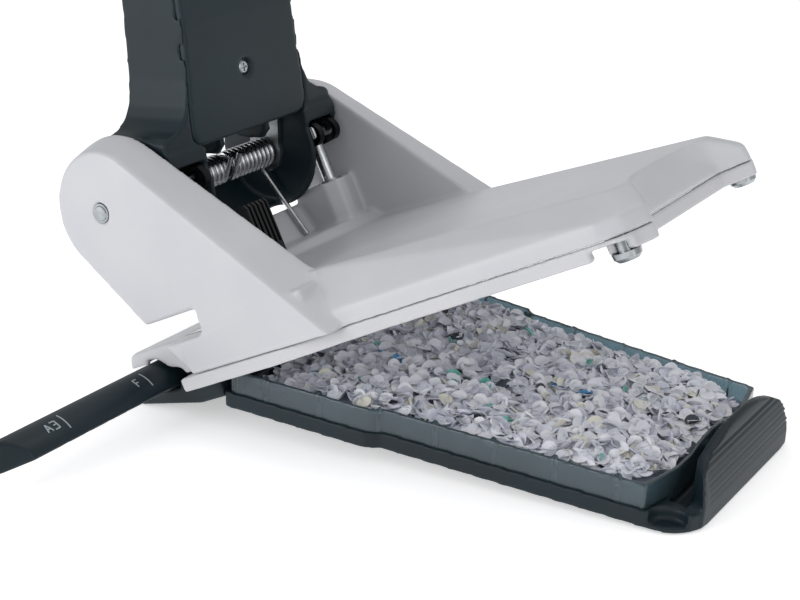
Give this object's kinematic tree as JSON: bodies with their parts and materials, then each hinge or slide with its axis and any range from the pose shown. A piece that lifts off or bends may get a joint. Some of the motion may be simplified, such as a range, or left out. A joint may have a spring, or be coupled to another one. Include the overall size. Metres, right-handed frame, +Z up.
{
  "type": "paper punch",
  "caption": "Long-lever office paper punch for two holes, with its chip tray swung open under the body and a side rail that sets the sheet.",
  "frame": {"origin": "centre of the bounding box's underside, on the table it stands on", "axes": "+X towards the nose and tray grip, +Y to the left, +Z up"},
  "size_m": [0.2474, 0.2126, 0.289],
  "materials": {
    "housing_grey": "fine satin mould texture",
    "frame_grey": "fine satin mould texture",
    "dark_plastic": "fine mould texture",
    "panel_plastic": "fine mould texture",
    "rail_plastic": "satin moulding",
    "smoke_plastic": "smoky translucent moulding",
    "black_plastic": "satin moulding",
    "plate_steel": "zinc-plated sheet",
    "tool_steel": "ground",
    "spring_steel": "bright drawn wire",
    "zinc_steel": "bright zinc plate",
    "pad_rubber": "soft matt"
  },
  "bodies": {
    "body": {"top_housing": "housing_grey", "lower_frame": "frame_grey", "rear_strip": "dark_plastic", "punch_chassis": "plate_steel", "die_plate": "tool_steel", "pin_guide_left": "plate_steel", "pin_guide_right": "plate_steel", "handle_axle": "zinc_steel", "axle_clips": "zinc_steel", "return_spring_left": "spring_steel", "return_spring_right": "spring_steel", "spring_rest": "black_plastic", "nose_screw_left": "zinc_steel", "nose_screw_right": "zinc_steel", "frame_screws": "zinc_steel", "rail_channel": "dark_plastic", "rail_detent": "spring_steel", "hinge_pin": "zinc_steel"},
    "tray": {"tray_base": "dark_plastic", "chip_liner": "smoke_plastic", "tray_pads": "pad_rubber"},
    "lever": {"lever_shell": "dark_plastic", "lever_front_panel": "panel_plastic", "lever_core": "plate_steel", "lever_screws": "zinc_steel", "hub_bush_left": "black_plastic", "hub_bush_right": "black_plastic", "press_cam_left": "plate_steel", "press_cam_right": "plate_steel"},
    "rail": {"guide_rail": "rail_plastic"},
    "left_punch": {"punch_pin_left": "tool_steel", "cross_pin_left": "tool_steel"},
    "right_punch": {"punch_pin_right": "tool_steel", "cross_pin_right": "tool_steel"}
  },
  "joints": [
    {"name": "lever_hinge", "type": "hinge", "parent": "body", "child": "lever", "pos_m": [-0.09756, 0.03475, 0.07525], "axis": [0, 1, 0], "range_deg": [0, 42], "stiffness_Nm_per_rad": 0.8, "springref_deg": -42.97, "deforming": ["return_spring_left", "return_spring_right"]},
    {"name": "tray_hinge", "type": "hinge", "parent": "body", "child": "tray", "pos_m": [-0.05473, 0.03475, 0.01385], "axis": [0, -1, 0], "range_deg": [0, 29]},
    {"name": "rail_slide", "type": "slide", "parent": "body", "child": "rail", "axis": [0, 1, 0], "range_m": [-0.03, 0.07]},
    {"name": "left_pin_slide", "type": "slide", "parent": "body", "child": "left_punch", "axis": [0.4333, 0, -0.9013], "range_m": [0, 0.0147]},
    {"name": "right_pin_slide", "type": "slide", "parent": "body", "child": "right_punch", "axis": [0.4333, 0, -0.9013], "range_m": [0, 0.0147]}
  ],
  "couplings": [
    {"joint": "left_pin_slide", "follows": "lever_hinge", "m_per_rad": 0.019917},
    {"joint": "right_pin_slide", "follows": "lever_hinge", "m_per_rad": 0.019917}
  ]
}
